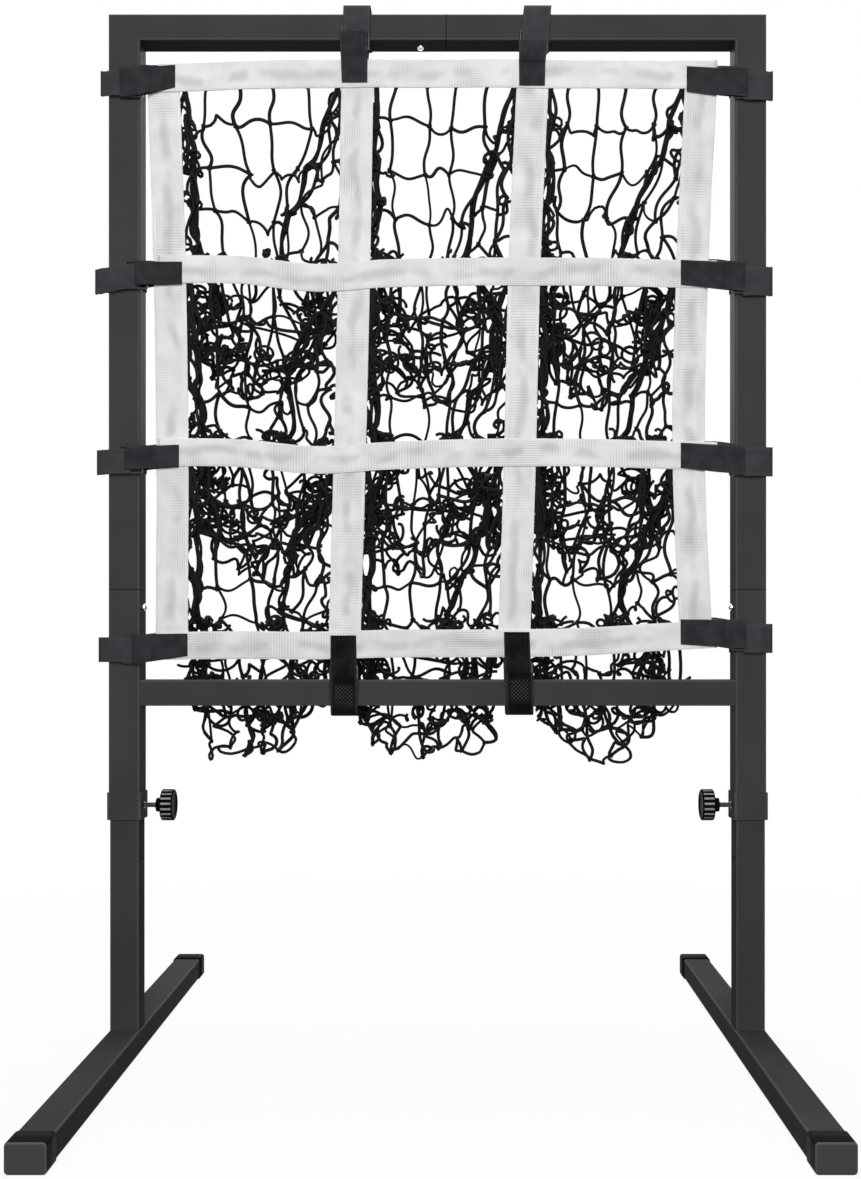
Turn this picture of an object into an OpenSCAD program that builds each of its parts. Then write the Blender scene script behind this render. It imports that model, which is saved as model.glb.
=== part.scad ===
// Free-standing pitching target net: a steel frame on two telescoping legs,
// with a nine-hole webbing target and a net pocket behind each hole.
// The origin is on the floor at the middle of the stand. +X is to the right
// as the pitcher sees it, -Y is towards the pitcher, +Z is up.

/* [Frame] */
// Width over the two uprights
frame_w = 757; // [600:1:1000]
// Height of the top rail's upper face above the floor
frame_h = 1198; // [990:1:1450]
// Width of the upright tubes, seen from the front
upright_w = 36; // [30:0.5:45]
// Depth of the frame tubes, front to back
tube_d = 34; // [28:0.5:42]
// Height of the top rail and the cross rail
rail_h = 30; // [26:0.5:40]
// Wall of the steel tubes
tube_wall = 1; // [0.8:0.1:1.6]
// Outer corner radius of the steel tubes
tube_r = 3; // [2:0.5:4]
// Height of the cross rail's lower face
cross_rail_z = 402; // [380:1:440]
// Height of the joints between the side tubes and the top corners
side_joint_z = 536; // [500:1:620]
// Distance of the top rail's joint from the middle
top_joint_x = 10; // [-30:1:50]

/* [Legs] */
// Height of the collars' lower ends, which is where the legs come out
collar_z = 271; // [250:1:290]
// Height of a collar
collar_h = 31; // [26:1:40]
// Wall of a collar
collar_wall = 1.8; // [1.2:0.1:3]
// Thickness of the lip that closes a collar round the leg
collar_lip = 2; // [1:0.5:4]
// Length of leg that stays inside the upright
leg_insertion = 92; // [80:1:94]
// Clearance between leg and upright on each side
leg_clearance = 0.25; // [0.2:0.05:0.5]
// Diameter of the height holes in a leg
height_hole_d = 7; // [6.8:0.1:9]
// Distance between two height holes
height_hole_pitch = 63; // [40:1:63]
// Number of height holes in a leg
height_holes = 3; // [1:1:3]
// Thickness of the head of the guide plug on top of a leg
guide_head = 4; // [2:0.5:6]
// Length of the guide plug inside the leg
guide_plug = 20; // [10:1:30]

/* [Feet] */
// Length of a foot over its two caps
foot_l = 735; // [500:1:900]
// Width of the foot tube
foot_w = 36; // [30:0.5:45]
// Height of the foot tube
foot_h = 27; // [22:0.5:40]
// Wall of a foot cap's sleeve
cap_wall = 1.3; // [1:0.1:3]
// Thickness of a foot cap's end
cap_end = 3; // [2:0.5:5]
// Length of a foot cap
cap_l = 30; // [20:1:50]

/* [Clamp knobs] */
// Diameter of the threaded stud
stud_d = 6; // [5:0.5:6.5]
// Outer diameter of the threaded insert in the collar
nut_d = 9; // [8:0.5:12]
// Diameter of a knob
knob_d = 36.5; // [30:0.5:45]
// Thickness of a knob's grip
knob_l = 20; // [14:0.5:26]
// Diameter of a knob's hub
hub_d = 16; // [12:0.5:20]
// Length of a knob's hub
hub_l = 5.5; // [3:0.5:10]
// Length of bare stud between the collar and the hub
knob_gap = 12; // [8:0.5:20]
// Number of grip flutes round a knob
flutes = 18; // [12:1:24]
// Radius of a grip flute
flute_r = 2; // [1:0.1:2.4]

/* [Snap buttons] */
// Diameter of a snap button
button_d = 8; // [6:0.5:10]
// Height that a snap button stands out of its tube
button_out = 5; // [4.5:0.5:7]
// Distance of a side tube's button below its joint
side_button_drop = 20; // [16:1:24]
// Distance of the top rail's button from its joint
top_button_drop = 30; // [16:1:36]
// Length of a joint insert beyond the button and beyond the joint
insert_reach = 45; // [36:1:60]
// Length of a joint insert on the far side of the button
insert_tail = 20; // [14:1:24]

/* [Target] */
// Gap between an upright and the webbing
side_gap = 21; // [12:1:40]
// Gap between the top rail and the top webbing
top_gap = 22; // [15:1:40]
// Gap between the cross rail and the bottom webbing
bottom_gap = 25; // [15:1:40]
// Height that the upper cross webbing hangs below an even spacing
upper_drop = 9; // [0:1:15]
// Width of the upright webbing
web_w = 37; // [25:1:45]
// Width of the cross webbing
cross_web_w = 32; // [28:1:40]
// Thickness of the webbing
web_t = 1.8; // [1:0.1:2.5]

/* [Pockets] */
// Depth of a pocket behind the webbing
pocket_depth = 120; // [100:1:150]
// Depth of the free space in front of a pocket's hanging part
pocket_front = 70; // [55:1:80]
// Height of the hole below that a hanging pocket leaves free
pocket_clear = 57; // [50:1:100]
// Thickness of a pocket's netting
pocket_wall = 1; // [0.8:0.1:2]
// Width of netting sewn behind the webbing on each side
pocket_margin = 8; // [4:1:11]

/* [Straps] */
// Thickness of the hook-and-loop tape
strap_t = 1.5; // [1:0.1:2]
// Width of the tape on the uprights
side_strap_w = 27; // [20:1:32]
// Width of the tape on the rails
end_strap_w = 33; // [20:1:40]
// Slack of the tape outside an upright
side_slack = 7; // [2:0.5:10]
// Slack of the tape above the top rail
top_slack = 12; // [2:0.5:14]
// Slack of the tape below the cross rail
bottom_slack = 7; // [2:0.5:10]
// Length of tape sewn on the webbing
sewn_l = 28; // [15:1:28]
// Length of a strap's rectangular ring
ring_l = 29; // [24:1:34]
// Width of a ring's bars
ring_bar = 3; // [2:0.5:4]
// Thickness of a ring
ring_t = 2.5; // [1.5:0.5:3]
// Distance of a ring's middle from an upright's middle, towards the target
side_ring_shift = 9; // [4:1:12]
// Distance of a ring's middle from a rail's middle, towards the target
end_ring_shift = 14; // [4:1:18]
// Length of tape folded back over a ring's bar
fold_l = 4; // [2:0.5:6]

/* [Hidden] */
$fn = 48;
fit = 0.1;                                  // gap between parts that are fixed together
soft_gap = 0.3;                             // gap between soft parts and what they lie on
thread_gap = 0.05;                          // radial gap round the clamp stud
insert_gap = 0.3;                           // gap between a joint insert and the tube on it
button_gap = 0.3;                           // radial gap round a snap button
cut = 1;                                    // overrun of a cutting shape

upright_x = frame_w / 2 - upright_w / 2;    // centre of an upright
inner_x = frame_w / 2 - upright_w;          // inner face of an upright
rail_z = frame_h - rail_h;                  // lower face of the top rail
upright_z = collar_z + collar_lip;          // lower end of a side tube
clamp_z = collar_z + collar_h / 2;          // axis of the clamp studs
leg_w = upright_w - 2 * (tube_wall + leg_clearance);
leg_d = tube_d - 2 * (tube_wall + leg_clearance);
leg_z = cap_wall + foot_h;                  // lower end of a leg
leg_top = collar_z + leg_insertion;
collar_in_w = upright_w + 2 * fit;
collar_in_d = tube_d + 2 * fit;
collar_w = collar_in_w + 2 * collar_wall;
collar_d = collar_in_d + 2 * collar_wall;
clamp_x = upright_x - collar_w / 2;         // inner face of a collar
wall_x = inner_x + tube_wall;               // inside face of an upright's inner wall
hub_x = clamp_x - knob_gap;                 // face of a knob's hub
grip_x = hub_x - hub_l;                     // face of a knob's grip
stud_in_knob = 14;                          // length of stud inside the knob
side_button_z = side_joint_z - side_button_drop;
top_button_x = top_joint_x - top_button_drop;
flange_d = 13;                              // flange that keeps a button inside its tube
flange_t = 1.2;
leaf_t = 0.6;                               // leaf spring behind a button
leaf_w = 9;
leaf_l = 30;

strap_face = tube_d / 2 + soft_gap;         // depth of the tape's inner face from the frame's middle
web_y = -strap_face;                        // front face of the cross webbing
net_w = 2 * (inner_x - side_gap);
col_pitch = (net_w - web_w) / 3;
net_top = rail_z - top_gap - cross_web_w / 2;                   // centre of the top webbing
net_bottom = cross_rail_z + rail_h + bottom_gap + cross_web_w / 2;
row_pitch = (net_top - net_bottom) / 3;
pocket_y = web_y + 2 * web_t + soft_gap;    // mouth of the pockets
pocket_w = col_pitch - web_w + 2 * pocket_margin;
pocket_hang = row_pitch - pocket_clear;     // part of a pocket below its hole
pocket_lip = 6;                             // netting above and below a hole
pocket_neck = 14;                           // depth of a pocket at its top edge
pocket_spare = 6;                           // room left round the pocket of the row above

// ---- shared shapes ----

// A rectangle with round corners, centred on the origin
module rounded_rect(w, d, r) {
    square([w - 2 * r, d], center = true);
    square([w, d - 2 * r], center = true);
    for (x = [-1, 1], y = [-1, 1])
        translate([x * (w / 2 - r), y * (d / 2 - r)]) circle(r);
}

// A rectangular tube that stands on the origin
module tube(w, d, l) {
    linear_extrude(l) difference() {
        rounded_rect(w, d, tube_r);
        rounded_rect(w - 2 * tube_wall, d - 2 * tube_wall, tube_r - tube_wall);
    }
}

// A tube that lies along X, from x0 to x1, with its lower face at z
module rail(x0, x1, z) {
    translate([x0, 0, z + rail_h / 2]) rotate([0, 90, 0]) tube(rail_h, tube_d, x1 - x0);
}

// Turns a shape made for the right-hand side into the one for side -1 or 1
module on_side(side) {
    mirror([side < 0 ? 1 : 0, 0, 0]) children();
}

// A hole along X through the inner wall of the right upright
module inner_wall_hole(z, d) {
    translate([inner_x - cut, 0, z]) rotate([0, 90, 0]) cylinder(h = tube_wall + 2 * cut, d = d);
}

// ---- stand ----

module foot(side) {
    color("dimgray")
    translate([side * upright_x, foot_l / 2 - cap_end, cap_wall + foot_h / 2])
    rotate([90, 0, 0]) tube(foot_w, foot_h, foot_l - 2 * cap_end);
}

// A cap on the end of a foot: end is -1 in front and 1 behind
module foot_cap(side, end) {
    outer_w = foot_w + 2 * cap_wall;
    outer_h = foot_h + 2 * cap_wall;
    color("#202020")
    translate([side * upright_x, end * foot_l / 2, outer_h / 2])
    rotate([end * 90, 0, 0]) difference() {
        linear_extrude(cap_l) rounded_rect(outer_w, outer_h, tube_r);
        translate([0, 0, cap_end])
            linear_extrude(cap_l) rounded_rect(foot_w, foot_h, tube_r - cap_wall / 2);
    }
}

module leg(side) {
    color("dimgray") on_side(side) difference() {
        translate([upright_x, 0, leg_z]) tube(leg_w, leg_d, leg_top - leg_z);
        for (i = [0 : height_holes - 1])
            translate([upright_x - leg_w / 2 - cut, 0, clamp_z - i * height_hole_pitch])
                rotate([0, 90, 0]) cylinder(h = tube_wall + 2 * cut, d = height_hole_d);
    }
}

// Plastic plug that guides the top of the leg inside the upright
module leg_guide(side) {
    head_w = upright_w - 2 * (tube_wall + fit);
    head_d = tube_d - 2 * (tube_wall + fit);
    plug_w = leg_w - 2 * (tube_wall + fit);
    plug_d = leg_d - 2 * (tube_wall + fit);
    color("#202020") translate([side * upright_x, 0, leg_top]) {
        linear_extrude(guide_head) rounded_rect(head_w, head_d, tube_r - tube_wall);
        translate([0, 0, -guide_plug])
            linear_extrude(guide_plug) rounded_rect(plug_w, plug_d, tube_r - tube_wall);
    }
}

// ---- frame ----

module side_tube(side) {
    color("dimgray") on_side(side) difference() {
        translate([upright_x, 0, upright_z]) tube(upright_w, tube_d, side_joint_z - upright_z);
        inner_wall_hole(clamp_z, nut_d + 2 * fit);
        inner_wall_hole(side_button_z, button_d + 2 * button_gap);
    }
}

module cross_rail() {
    color("dimgray") rail(-inner_x, inner_x, cross_rail_z);
}

// The solid outline of a top corner, drawn in from its outside by inset:
// two arms, and a corner whose outer edges are as round as the arms'
module elbow(end_x, inset) {
    w = upright_w - 2 * inset;
    d = tube_d - 2 * inset;
    h = rail_h - 2 * inset;
    r = tube_r - inset;
    over = inset > 0 ? cut : 0;
    intersection() {
        union() {
            translate([upright_x, 0, side_joint_z - over])
                linear_extrude(frame_h - inset - side_joint_z + over) rounded_rect(w, d, r);
            translate([end_x - over, 0, rail_z + rail_h / 2]) rotate([0, 90, 0])
                linear_extrude(frame_w / 2 - inset - end_x + over) rounded_rect(h, d, r);
        }
        translate([end_x - cut, 0, 0]) rotate([0, 90, 0])
            linear_extrude(frame_w) rounded_rect(2 * (frame_h - inset), d, r);
        linear_extrude(frame_h) rounded_rect(frame_w - 2 * inset, d, r);
    }
}

module top_corner(side, end_x) {
    color("dimgray") on_side(side) difference() {
        elbow(end_x, 0);
        elbow(end_x, tube_wall);
    }
}

module top_left_corner() {
    difference() {
        top_corner(-1, -top_joint_x);
        translate([top_button_x, 0, rail_z - cut])
            color("dimgray") cylinder(h = tube_wall + 2 * cut, d = button_d + 2 * button_gap);
    }
}

// ---- height clamps ----

module collar(side) {
    color("#262626") on_side(side) difference() {
        translate([upright_x, 0, collar_z]) linear_extrude(collar_h)
            rounded_rect(collar_w, collar_d, tube_r + collar_wall);
        translate([upright_x, 0, upright_z]) linear_extrude(collar_h)
            rounded_rect(collar_in_w, collar_in_d, tube_r + fit);
        translate([upright_x, 0, collar_z - cut]) linear_extrude(collar_h)
            rounded_rect(leg_w + 2 * leg_clearance, leg_d + 2 * leg_clearance, tube_r);
        translate([clamp_x - cut, 0, clamp_z]) rotate([0, 90, 0])
            cylinder(h = collar_wall + 2 * cut, d = nut_d + 2 * fit);
    }
}

// Threaded insert pressed through the collar and the upright's inner wall
module clamp_nut(side) {
    color("silver") on_side(side) difference() {
        translate([clamp_x, 0, clamp_z]) rotate([0, 90, 0])
            cylinder(h = wall_x - clamp_x, d = nut_d);
        translate([clamp_x - cut, 0, clamp_z]) rotate([0, 90, 0])
            cylinder(h = wall_x - clamp_x + 2 * cut, d = stud_d + 2 * thread_gap);
    }
}

module clamp_stud(side) {
    color("silver") on_side(side) translate([hub_x - stud_in_knob, 0, clamp_z])
        rotate([0, 90, 0]) cylinder(h = wall_x - hub_x + stud_in_knob, d = stud_d);
}

// A fluted grip on a hub, bored for its stud
module knob(side) {
    color("#1c1c1c") on_side(side) difference() {
        union() {
            translate([grip_x - knob_l, 0, clamp_z]) rotate([0, 90, 0]) cylinder(h = knob_l, d = knob_d);
            translate([grip_x, 0, clamp_z]) rotate([0, 90, 0]) cylinder(h = hub_l, d = hub_d);
        }
        translate([hub_x - stud_in_knob, 0, clamp_z]) rotate([0, 90, 0])
            cylinder(h = stud_in_knob + cut, d = stud_d + 2 * thread_gap);
        for (i = [0 : flutes - 1])
            translate([grip_x - knob_l - cut, 0, clamp_z]) rotate([i * 360 / flutes, 0, 0])
                translate([0, 0, knob_d / 2 + flute_r / 2]) rotate([0, 90, 0])
                    cylinder(h = knob_l + 2 * cut, r = flute_r);
    }
}

// ---- tube joints with snap buttons ----
// Each is drawn with its button pointing along +Z from the tube's outer face,
// and the tube along X, towards the joint. in_h is the tube's size along Z.

module joint_insert(tube_h, drop) {
    in_h = tube_h - 2 * (tube_wall + insert_gap);
    in_d = tube_d - 2 * (tube_wall + insert_gap);
    color("gray") difference() {
        translate([-insert_tail, 0, -tube_h / 2]) rotate([0, 90, 0])
            tube(in_h, in_d, insert_tail + drop + insert_reach);
        translate([0, 0, -tube_wall - insert_gap - tube_wall - cut])
            cylinder(h = tube_wall + 2 * cut, d = button_d + 2 * button_gap);
    }
}

module button() {
    flange_z = -2 * tube_wall - insert_gap - fit - flange_t;
    color("silver") {
        translate([0, 0, flange_z]) cylinder(h = flange_t, d = flange_d);
        translate([0, 0, flange_z]) cylinder(h = button_out - button_d / 2 - flange_z, d = button_d);
        translate([0, 0, button_out - button_d / 2]) sphere(d = button_d);
    }
}

// Bent strip: one leaf behind the button, the other on the insert's far wall
module button_spring(tube_h) {
    near = -2 * tube_wall - insert_gap - 2 * fit - flange_t;
    far = -(tube_h - 2 * tube_wall - insert_gap - fit);
    bend = (near + far) / 2;
    foot = flange_d / 2;
    color("gray") rotate([90, 0, 0]) translate([0, 0, -leaf_w / 2]) linear_extrude(leaf_w) polygon([
        [-foot, near],
        [foot, near],
        [leaf_l, bend],
        [foot, far],
        [-foot, far],
        [-foot, far + leaf_t],
        [foot - leaf_t, far + leaf_t],
        [leaf_l - 3 * leaf_t, bend],
        [foot - leaf_t, near - leaf_t],
        [-foot, near - leaf_t]
    ]);
}

// Places a joint's piece at the left, right or top button
module at_left_button() {
    translate([-inner_x, 0, side_button_z]) rotate([180, -90, 0]) children();
}

module at_right_button() {
    translate([inner_x, 0, side_button_z]) rotate([0, -90, 0]) children();
}

module at_top_button() {
    translate([top_button_x, 0, rail_z]) rotate([180, 0, 0]) children();
}

// ---- webbing target ----

// Centre height of cross webbing number row, counted down from the top
function row_z(row) = net_top - row * row_pitch - (row == 1 ? upper_drop : 0);

// Height of the holes below cross webbing number row
function hole_h(row) = row_z(row) - row_z(row + 1) - cross_web_w;

module cross_web(row) {
    color("whitesmoke") translate([-net_w / 2, web_y, row_z(row) - cross_web_w / 2])
        cube([net_w, web_t, cross_web_w]);
}

// Upright webbing number col, counted from the left, sewn behind the cross webbing
module upright_web(col) {
    color("whitesmoke")
    translate([(col - 1.5) * col_pitch - web_w / 2, web_y + web_t, net_bottom - cross_web_w / 2])
        cube([web_w, web_t, net_top - net_bottom + cross_web_w]);
}

// Side outline of a pocket, drawn in from its outside by inset.
// x is the depth behind the mouth, y the height above the hole's top edge.
function pocket_outline(hole, inset) = [
    [inset > 0 ? -cut : 0, pocket_lip - inset],
    [pocket_neck - inset, pocket_lip - inset],
    [pocket_front - pocket_spare - inset, cross_web_w - pocket_hang - pocket_spare],
    [pocket_depth - inset, -hole],
    [pocket_depth - inset, -hole - pocket_hang + inset],
    [pocket_front + inset, -hole - pocket_hang + inset],
    [pocket_front + inset, -hole - 4 * pocket_lip + inset],
    [inset > 0 ? -cut : 0, -hole - pocket_lip + inset]
];

// A net pocket, open in front: col is -1, 0 or 1, row 0 is at the top
module pocket(col, row) {
    color("#101010")
    translate([col * col_pitch, pocket_y, row_z(row) - cross_web_w / 2])
    rotate([0, 0, 90]) rotate([90, 0, 0]) difference() {
        translate([0, 0, -pocket_w / 2])
            linear_extrude(pocket_w) polygon(pocket_outline(hole_h(row), 0));
        translate([0, 0, -pocket_w / 2 + pocket_wall])
            linear_extrude(pocket_w - 2 * pocket_wall)
                polygon(pocket_outline(hole_h(row), pocket_wall));
    }
}

// ---- straps ----
// A strap is drawn round a tube on the origin: +X points away from the
// target, +Y to the front, and the tape's width lies along Z.

// Tape folded round a ring's bar: x is the bar's edge on the ring's inside,
// dir is 1 for the outer bar and -1 for the inner one
module bar_fold(x, dir) {
    fold_y = strap_face + strap_t + ring_t + 2 * soft_gap;
    translate([x, 0]) mirror([dir < 0 ? 1 : 0, 0]) {
        translate([-soft_gap - strap_t, strap_face])
            square([strap_t, fold_y + strap_t - strap_face]);
        translate([-soft_gap - strap_t, fold_y])
            square([soft_gap + strap_t + ring_bar + fold_l, strap_t]);
    }
}

// A closed loop of tape round a tube, its sewn tab, and a fold over each bar
module strap(tube_w, slack, reach, width, shift) {
    front = strap_face + strap_t;
    near = tube_w / 2 + soft_gap;
    far = tube_w / 2 + slack;
    linear_extrude(width, center = true) {
        difference() {
            translate([-near - strap_t, -front]) square([near + far + 2 * strap_t, 2 * front]);
            translate([-near, -strap_face]) square([near + far, 2 * strap_face]);
        }
        translate([-reach, strap_face]) square([reach - near, strap_t]);
        for (dir = [-1, 1])
            bar_fold(dir * (ring_l / 2 - ring_bar) - shift, dir);
    }
}

// The flat rectangular ring that lies on a strap, in the strap's own axes
module ring(width, shift) {
    opening = width + 2 * soft_gap;
    translate([-shift, strap_face + strap_t + soft_gap + ring_t, 0]) rotate([90, 0, 0])
        linear_extrude(ring_t) difference() {
            square([ring_l, opening + 2 * ring_bar], center = true);
            square([ring_l - 2 * ring_bar, opening], center = true);
        }
}

module at_side_straps(side) {
    for (i = [0:3])
        translate([side * upright_x, 0, row_z(i)])
            rotate(side < 0 ? [0, 0, 180] : [180, 0, 0]) children();
}

module at_end_straps(end) {
    for (x = [-col_pitch / 2, col_pitch / 2])
        translate([x, 0, (end < 0 ? cross_rail_z : rail_z) + rail_h / 2])
            rotate([180, -end * 90, 0]) children();
}

module side_straps(side) {
    color("#202126") at_side_straps(side)
        strap(upright_w, side_slack, upright_x - net_w / 2 + sewn_l, side_strap_w, side_ring_shift);
}

// Straps on the cross rail, end -1, or on the top rail, end 1
module end_straps(end) {
    gap = end < 0 ? bottom_gap : top_gap;
    slack = end < 0 ? bottom_slack : top_slack;
    color("#202126") at_end_straps(end)
        strap(rail_h, slack, rail_h / 2 + gap + sewn_l, end_strap_w, end_ring_shift);
}

module side_rings(side) {
    color("#101010") at_side_straps(side) ring(side_strap_w, side_ring_shift);
}

module end_rings(end) {
    color("#101010") at_end_straps(end) ring(end_strap_w, end_ring_shift);
}

// ---- the nodes ----

foot(-1);  // left_foot
foot(1);  // right_foot
foot_cap(-1, -1);  // left_front_cap
foot_cap(-1, 1);  // left_rear_cap
foot_cap(1, -1);  // right_front_cap
foot_cap(1, 1);  // right_rear_cap
leg(-1);  // left_leg
leg(1);  // right_leg
leg_guide(-1);  // left_leg_guide
leg_guide(1);  // right_leg_guide
side_tube(-1);  // left_side_tube
side_tube(1);  // right_side_tube
cross_rail();
top_left_corner();
top_corner(1, top_joint_x);  // top_right_corner
collar(-1);  // left_collar
collar(1);  // right_collar
clamp_nut(-1);  // left_clamp_nut
clamp_nut(1);  // right_clamp_nut
clamp_stud(-1);  // left_clamp_stud
clamp_stud(1);  // right_clamp_stud
knob(-1);  // left_knob
knob(1);  // right_knob
at_left_button() joint_insert(upright_w, side_button_drop);  // left_joint_insert
at_right_button() joint_insert(upright_w, side_button_drop);  // right_joint_insert
at_top_button() joint_insert(rail_h, top_button_drop);  // top_joint_insert
at_left_button() button();  // left_button
at_right_button() button();  // right_button
at_top_button() button();  // top_button
at_left_button() button_spring(upright_w);  // left_button_spring
at_right_button() button_spring(upright_w);  // right_button_spring
at_top_button() button_spring(rail_h);  // top_button_spring
cross_web(0);  // top_web
cross_web(1);  // upper_web
cross_web(2);  // lower_web
cross_web(3);  // bottom_web
upright_web(0);  // left_web
upright_web(1);  // inner_left_web
upright_web(2);  // inner_right_web
upright_web(3);  // right_web
pocket(-1, 0);  // pocket_top_left
pocket(0, 0);  // pocket_top_middle
pocket(1, 0);  // pocket_top_right
pocket(-1, 1);  // pocket_middle_left
pocket(0, 1);  // pocket_centre
pocket(1, 1);  // pocket_middle_right
pocket(-1, 2);  // pocket_bottom_left
pocket(0, 2);  // pocket_bottom_middle
pocket(1, 2);  // pocket_bottom_right
side_straps(-1);  // left_straps
side_straps(1);  // right_straps
end_straps(1);  // top_straps
end_straps(-1);  // bottom_straps
side_rings(-1);  // left_rings
side_rings(1);  // right_rings
end_rings(1);  // top_rings
end_rings(-1);  // bottom_rings
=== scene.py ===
import math

import bpy
import numpy as np
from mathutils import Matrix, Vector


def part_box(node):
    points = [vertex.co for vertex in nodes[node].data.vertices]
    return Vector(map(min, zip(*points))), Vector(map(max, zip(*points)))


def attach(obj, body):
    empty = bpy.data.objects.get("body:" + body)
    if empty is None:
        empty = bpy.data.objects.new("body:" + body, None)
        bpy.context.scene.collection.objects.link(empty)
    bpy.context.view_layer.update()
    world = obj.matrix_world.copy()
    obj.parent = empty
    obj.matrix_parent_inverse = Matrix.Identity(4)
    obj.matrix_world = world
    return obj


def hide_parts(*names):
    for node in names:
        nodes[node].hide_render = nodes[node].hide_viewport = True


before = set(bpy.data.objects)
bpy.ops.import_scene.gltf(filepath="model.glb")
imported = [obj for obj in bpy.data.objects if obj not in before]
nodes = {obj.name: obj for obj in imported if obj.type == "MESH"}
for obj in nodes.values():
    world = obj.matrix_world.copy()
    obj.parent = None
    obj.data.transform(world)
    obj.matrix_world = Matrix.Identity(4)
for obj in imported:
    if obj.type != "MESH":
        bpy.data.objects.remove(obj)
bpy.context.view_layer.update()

MM = 0.001


# ---- The view ----
# The camera stands in front of the target, a little right of its middle and at the height
# of the bottom row of holes. It looks straight ahead, and its lens is shifted instead.

image_w, image_h = 861, 1179            # the frame that it fills, in pixels
focal_px = 1338                         # focal length, in pixels of that frame
level_px = (460, 647.5)                 # pixel that the level line of sight falls on
eye = (0.0259, -1.555, 0.4692)
film = 36
scene = bpy.context.scene


def put(name, data):
    """An object made of that data, in the scene."""
    thing = bpy.data.objects.new(name, data)
    scene.collection.objects.link(thing)
    return thing


lens = bpy.data.cameras.new("view")
lens.sensor_width = film
lens.lens = focal_px * film / image_h
lens.shift_x = (image_w / 2 - level_px[0]) / image_h
lens.shift_y = (level_px[1] - image_h / 2) / image_h
camera = put("view", lens)
camera.location = eye
camera.rotation_euler = (math.radians(90), 0, 0)
scene.camera = camera
scene.view_settings.view_transform = "Standard"


# ---- Floor and light ----
# A pale studio floor that fades to white away from the stand, a white world, wide soft lamps
# in front, behind and above, and a faint one on each side that draws the tubes' edges.

class Value:
    """A socket in a finish's nodes. Arithmetic on it adds Math nodes."""

    def __init__(self, finish, socket):
        self.finish = finish
        self.socket = socket

    def math(self, operation, *terms):
        return self.finish.node("Math", {"operation": operation}, dict(enumerate(terms)))

    def __add__(self, other):
        return self.math("ADD", self, other)

    def __sub__(self, other):
        return self.math("SUBTRACT", self, other)

    def __mul__(self, other):
        return self.math("MULTIPLY", self, other)

    def __truediv__(self, other):
        return self.math("DIVIDE", self, other)

    def __pow__(self, other):
        return self.math("POWER", self, other)

    def __radd__(self, other):
        return self.math("ADD", other, self)

    def __rsub__(self, other):
        return self.math("SUBTRACT", other, self)

    def __rmul__(self, other):
        return self.math("MULTIPLY", other, self)

    def size(self):
        return self.math("ABSOLUTE", self)

    def most(self, other):
        return self.math("MAXIMUM", self, other)

    def wave(self, pitch):
        """A sine wave from -1 to 1 that repeats each time the value grows by pitch."""
        return self.math("SINE", self * (2 * math.pi / pitch))

    def step(self, low, high):
        """0 below low, 1 above high, and a smooth climb between them."""
        return self.finish.node("MapRange", {"interpolation_type": "SMOOTHSTEP"},
                                {"Value": self, "From Min": low, "From Max": high})


class Finish:
    """A surface's material, or a world. node() adds its nodes, and shade() feeds its shader."""

    def __init__(self, name, world=False):
        self.material = (bpy.data.worlds if world else bpy.data.materials).new(name)
        self.material.use_nodes = True
        self.tree = self.material.node_tree
        self.shader = self.tree.nodes["Background" if world else "Principled BSDF"]
        self.place = self.node("TexCoord", out="Object")

    def node(self, kind, settings=None, sockets=None, out=0):
        node = self.tree.nodes.new("ShaderNode" + kind)
        for name, value in (settings or {}).items():
            if name == "stops":
                while len(node.color_ramp.elements) < len(value):
                    node.color_ramp.elements.new(0.5)
                for stop, (position, colour) in zip(node.color_ramp.elements, value):
                    stop.position = position
                    stop.color = (*colour, 1)
            else:
                setattr(node, name, value)
        self.feed(node, sockets or {})
        return Value(self, node.outputs[out])

    def feed(self, node, sockets):
        for name, value in sockets.items():
            if isinstance(value, Value):
                self.tree.links.new(value.socket, node.inputs[name])
            elif hasattr(value, "__len__") and len(value) == 3 and len(node.inputs[name].default_value) == 4:
                node.inputs[name].default_value = (*value, 1)
            else:
                node.inputs[name].default_value = value

    def shade(self, **values):
        self.feed(self.shader, {name.replace("_", " "): value for name, value in values.items()})
        return self

    def axes(self, vector=None):
        """X, Y and Z of the place in metres, or of another vector."""
        return [self.node("SeparateXYZ", sockets={0: vector or self.place}, out=i) for i in range(3)]

    def noise(self, pitch, detail=2, stretch=(1, 1, 1)):
        """Cloudy values from 0 to 1, pitch metres apart, longer along a stretched axis."""
        scale = tuple(1 / (pitch * s) for s in stretch)
        spot = self.node("VectorMath", {"operation": "MULTIPLY"}, {0: self.place, 1: scale})
        return self.node("TexNoise", sockets={"Vector": spot, "Scale": 1, "Detail": detail})

    def blend(self, mask, a, b):
        """Colour a where mask is 0, and colour b where it is 1."""
        return self.node("Mix", {"data_type": "RGBA"}, {0: mask, 6: a, 7: b}, out=2)

    def relief(self, height, depth, under=None):
        """A surface normal from height, which is 0 to 1 and depth metres high."""
        sockets = {"Height": height, "Distance": depth, "Strength": 1}
        if under is not None:
            sockets["Normal"] = under
        return self.node("Bump", sockets=sockets)

    def own(self, name):
        """A value that the mesh carries on its points."""
        return self.node("Attribute", {"attribute_name": name}, out="Fac")

    def looked_at(self):
        """1 where it is seen, straight or in another surface, and 0 where it only sheds light."""
        kinds = ("Camera", "Glossy", "Transmission")
        seen, glossy, through = [self.node("LightPath", out=f"Is {kind} Ray") for kind in kinds]
        return seen.most(glossy).most(through)


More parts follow.
